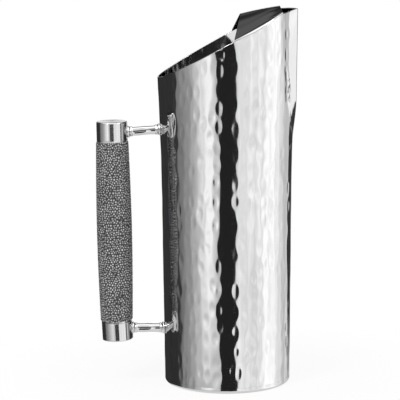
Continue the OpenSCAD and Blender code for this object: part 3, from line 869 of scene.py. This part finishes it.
# Camera, from the photograph's own perspective: lens, pitch and roll were fitted to the
# outlines of body, rim and handle.
view = dict(lens=180.6, sensor=36, pitch=9.15, roll=0.35,
            place=(-20.04 * mm, -1493.08 * mm, 379.02 * mm))
camera = bpy.data.objects.new("camera", bpy.data.cameras.new("camera"))
camera.data.lens, camera.data.sensor_width = view["lens"], view["sensor"]
camera.data.clip_start, camera.data.clip_end = 0.05, 100
pitch, roll = math.radians(view["pitch"]), math.radians(view["roll"])
right, up = np.array([1, 0, 0]), np.array([0, math.sin(pitch), math.cos(pitch)])
basis = np.eye(4)
basis[:3, 0] = right * math.cos(roll) - up * math.sin(roll)
basis[:3, 1] = right * math.sin(roll) + up * math.cos(roll)
basis[:3, 2] = [0, -math.cos(pitch), math.sin(pitch)]
basis[:3, 3] = view["place"]
camera.matrix_world = Matrix(basis.tolist())
bpy.context.scene.collection.objects.link(camera)
bpy.context.scene.camera = camera

# Studio: what the metal sees. The sweep gives the grey round the horizon by compass
# direction: 0 is behind the camera, 90 is the object's right, 180 is behind the object.
sweep = [
    (-180, 0.03), (-150, 0.04), (-104, 0.045), (-98, 0.055), (-95, 0.22), (-88, 0.32),
    (-80, 0.38), (-70, 0.5), (-58, 0.62), (-50, 0.82), (-44, 1.2), (-36, 1.45), (-27, 1.3),
    (-19, 0.95), (-14, 0.8), (20, 1.2), (33, 1.3), (64, 1.25), (78, 1.5), (92, 1.6),
    (102, 1.4), (112, 1.02), (127, 0.7), (138, 0.85), (141.5, 1.3), (149.8, 1.4),
    (150.8, 0.04), (161, 0.05), (168, 0.2), (180, 0.1),
]
# Each card is a patch over the sweep and the cards before it: its direction, its height above
# the horizon, its half width and half height, how softly it ends either way, and its grey.
cards = [
    (-33, -32.5, 24, 18, 8, 4.5, 0.68),  # low left
    (147, -24.4, 6.5, 17, 0.8, 0.4, 0.045),  # right edge
    (0.5, -12.5, 14.7, 9.5, 0.6, 1.2, 0.023),  # black flag
    (-20, 7, 40, 6, 6, 1.5, 0.03),  # gap in front
    (66, 6, 46, 5, 6, 1.5, 0.6),  # gap on the right
    (-88, 2.5, 26, 3.5, 4, 1, 0.03),  # gap on the left
    (-10, -0.9, 9, 1.7, 1, 0.5, 1.2),  # light over the flag
    (0, -62, 400, 34, 1, 5, 0.95),  # floor all round
    (165, -49, 24, 35, 1, 2, 0.8),  # floor at the back
    (180, 33, 85, 13, 10, 4, 0.125),  # rear wall
    (180, 15, 85, 6, 10, 3, 0.03),  # shelf on it
    (180, 7, 35, 2.5, 5, 1, 1),  # table edge before it
    (0, 78, 400, 32, 1, 8, 1.65),  # overhead
]
paper = dict(scale=7.0, detail=2.0, valley=0.78, crest=1.1)  # creases of the sweep
plainLight = 0.55  # the level that light from all round has


def makeWorld():
    world = bpy.data.worlds.new("studio")
    bpy.context.scene.world = world
    world.use_nodes = True
    tree = world.node_tree
    shader = tree.nodes["Background"]

    def compute(operation, *sources, clamp=False):
        node = addNode(tree, "ShaderNodeMath", {"operation": operation, "use_clamp": clamp})
        for socket, source in zip(node.inputs, sources):
            if isinstance(source, (int, float)):
                socket.default_value = source
            else:
                tree.links.new(source, socket)
        return node.outputs[0]

    def within(distance, half, soft):  # 1 inside, 0 outside, with a soft edge
        return addNode(tree, "ShaderNodeMapRange", {
            "interpolation_type": "SMOOTHSTEP", "in:From Min": float(half - soft),
            "in:From Max": float(half + soft), "in:To Min": 1.0, "in:To Max": 0.0},
            Value=distance).outputs[0]

    direction = addNode(tree, "ShaderNodeTexCoord").outputs["Generated"]
    ray = addNode(tree, "ShaderNodeSeparateXYZ", Vector=direction)
    towards = compute("MULTIPLY", ray.outputs["Y"], -1.0)
    turn = compute("DEGREES", compute("ARCTAN2", ray.outputs["X"], towards))
    height = compute("DEGREES", compute("ARCSINE", ray.outputs["Z"]))
    horizon = addNode(tree, "ShaderNodeValToRGB",
                      Fac=compute("DIVIDE", compute("ADD", turn, 180.0), 360.0))
    brightest = max(level for _, level in sweep)
    addStops(horizon.color_ramp, [((degrees + 180) / 360, (level / brightest,) * 3 + (1,))
                                  for degrees, level in sweep])
    seen = compute("MULTIPLY", horizon.outputs["Color"], brightest)
    # The hammer marks pick up the creases of the paper sweep.
    creases = addNode(tree, "ShaderNodeTexNoise", {
        "in:Scale": paper["scale"], "in:Detail": paper["detail"]}, Vector=direction)
    crease = addNode(tree, "ShaderNodeMapRange", {
        "in:From Min": 0.3, "in:From Max": 0.7, "in:To Min": paper["valley"],
        "in:To Max": paper["crest"]}, Value=creases.outputs["Fac"])
    seen = compute("MULTIPLY", seen, crease.outputs[0])
    for cardTurn, cardHeight, halfTurn, halfHeight, softTurn, softHeight, level in cards:
        aside = compute("WRAP", compute("SUBTRACT", turn, float(cardTurn)), 180.0, -180.0)
        above = compute("SUBTRACT", height, float(cardHeight))
        mask = compute("MULTIPLY", within(compute("ABSOLUTE", aside), halfTurn, softTurn),
                       within(compute("ABSOLUTE", above), halfHeight, softHeight))
        seen = compute("ADD", compute("MULTIPLY", seen, compute("SUBTRACT", 1.0, mask)),
                       compute("MULTIPLY", mask, float(level)))
    # Camera rays see plain white. Glossy and transmission rays see the studio against that
    # white backdrop, and the rest of the light is a plain level.
    path = addNode(tree, "ShaderNodeLightPath")
    fromCamera = path.outputs["Is Camera Ray"]
    shiny = compute("ADD", path.outputs["Is Glossy Ray"], path.outputs["Is Transmission Ray"],
                    clamp=True)
    backdrop = compute("ADD", fromCamera, compute("MULTIPLY", shiny, seen))
    other = compute("SUBTRACT", 1.0, compute("ADD", fromCamera, shiny, clamp=True))
    light = compute("ADD", backdrop, compute("MULTIPLY", other, plainLight))
    tree.links.new(light, shader.inputs["Color"])
    shader.inputs["Strength"].default_value = 1


ground = dict(
    tone="f4f4f4", rings=(0, 0.2, 0.6, 2, 12), drop=0.05 * mm,  # just under the base
    shadowEnds=0.05, whiteFrom=0.22, nearWhite=0.9,
)


def makeFloor():
    # Pale floor. Near the object it takes the shadow, farther out it is the white backdrop.
    material, tree, shader = newMaterial("pale_floor")
    shader.inputs["Base Color"].default_value = colour(ground["tone"])
    shader.inputs["Roughness"].default_value = 0.9
    shader.inputs["Specular IOR Level"].default_value = 0.1
    where = addNode(tree, "ShaderNodeTexCoord").outputs["Object"]
    distance = addNode(tree, "ShaderNodeVectorMath", {"operation": "LENGTH"}, i0=where)
    share = addNode(tree, "ShaderNodeMapRange", {
        "interpolation_type": "SMOOTHSTEP", "in:From Min": ground["shadowEnds"],
        "in:From Max": ground["whiteFrom"], "in:To Min": ground["nearWhite"], "in:To Max": 1.0},
        Value=distance.outputs["Value"])
    white = addNode(tree, "ShaderNodeEmission", {"in:Color": (1, 1, 1, 1), "in:Strength": 1.0})
    path = addNode(tree, "ShaderNodeLightPath")
    factor = addNode(tree, "ShaderNodeMath", {"operation": "MULTIPLY"},
                     i0=share.outputs[0], i1=path.outputs["Is Camera Ray"])
    mixed = addNode(tree, "ShaderNodeMixShader", i0=factor.outputs[0], i1=shader.outputs[0],
                    i2=white.outputs[0])
    tree.links.new(mixed.outputs[0], tree.nodes["Material Output"].inputs["Surface"])
    points = revolved([[r, -ground["drop"]] for r in ground["rings"]], 64)
    faces = gridFaces(*points.shape[:2], closedCols=True)
    mesh = bpy.data.meshes.new("floor")
    mesh.from_pydata(points.reshape(-1, 3).tolist(), [], faces.tolist())
    mesh.materials.append(material)
    floor = bpy.data.objects.new("floor", mesh)
    bpy.context.scene.collection.objects.link(floor)
    floor.visible_glossy = False  # the metal sees the studio cards down to its foot


lamps = {"key lamp": dict(place=(-0.9, -1.2, 1.7), size=0.5, power=14),
         "fill lamp": dict(place=(1.5, -0.9, 1.3), size=0.6, power=8)}
lampAim = (-0.03, 0, 0.13)  # the middle of the pitcher with its handle


def addLamp(name, place, size, power):
    lamp = bpy.data.objects.new(name, bpy.data.lights.new(name, "AREA"))
    lamp.data.shape, lamp.data.energy = "RECTANGLE", power
    lamp.data.size, lamp.data.size_y = size, size
    lamp.location = place
    aim = Vector(lampAim) - Vector(place)
    lamp.rotation_euler = aim.to_track_quat("-Z", "Y").to_euler()
    bpy.context.scene.collection.objects.link(lamp)


makeWorld()
makeFloor()
for lampName, lampValues in lamps.items():
    addLamp(lampName, **lampValues)
print("studio made")

bpy.context.scene.view_settings.view_transform = "Standard"
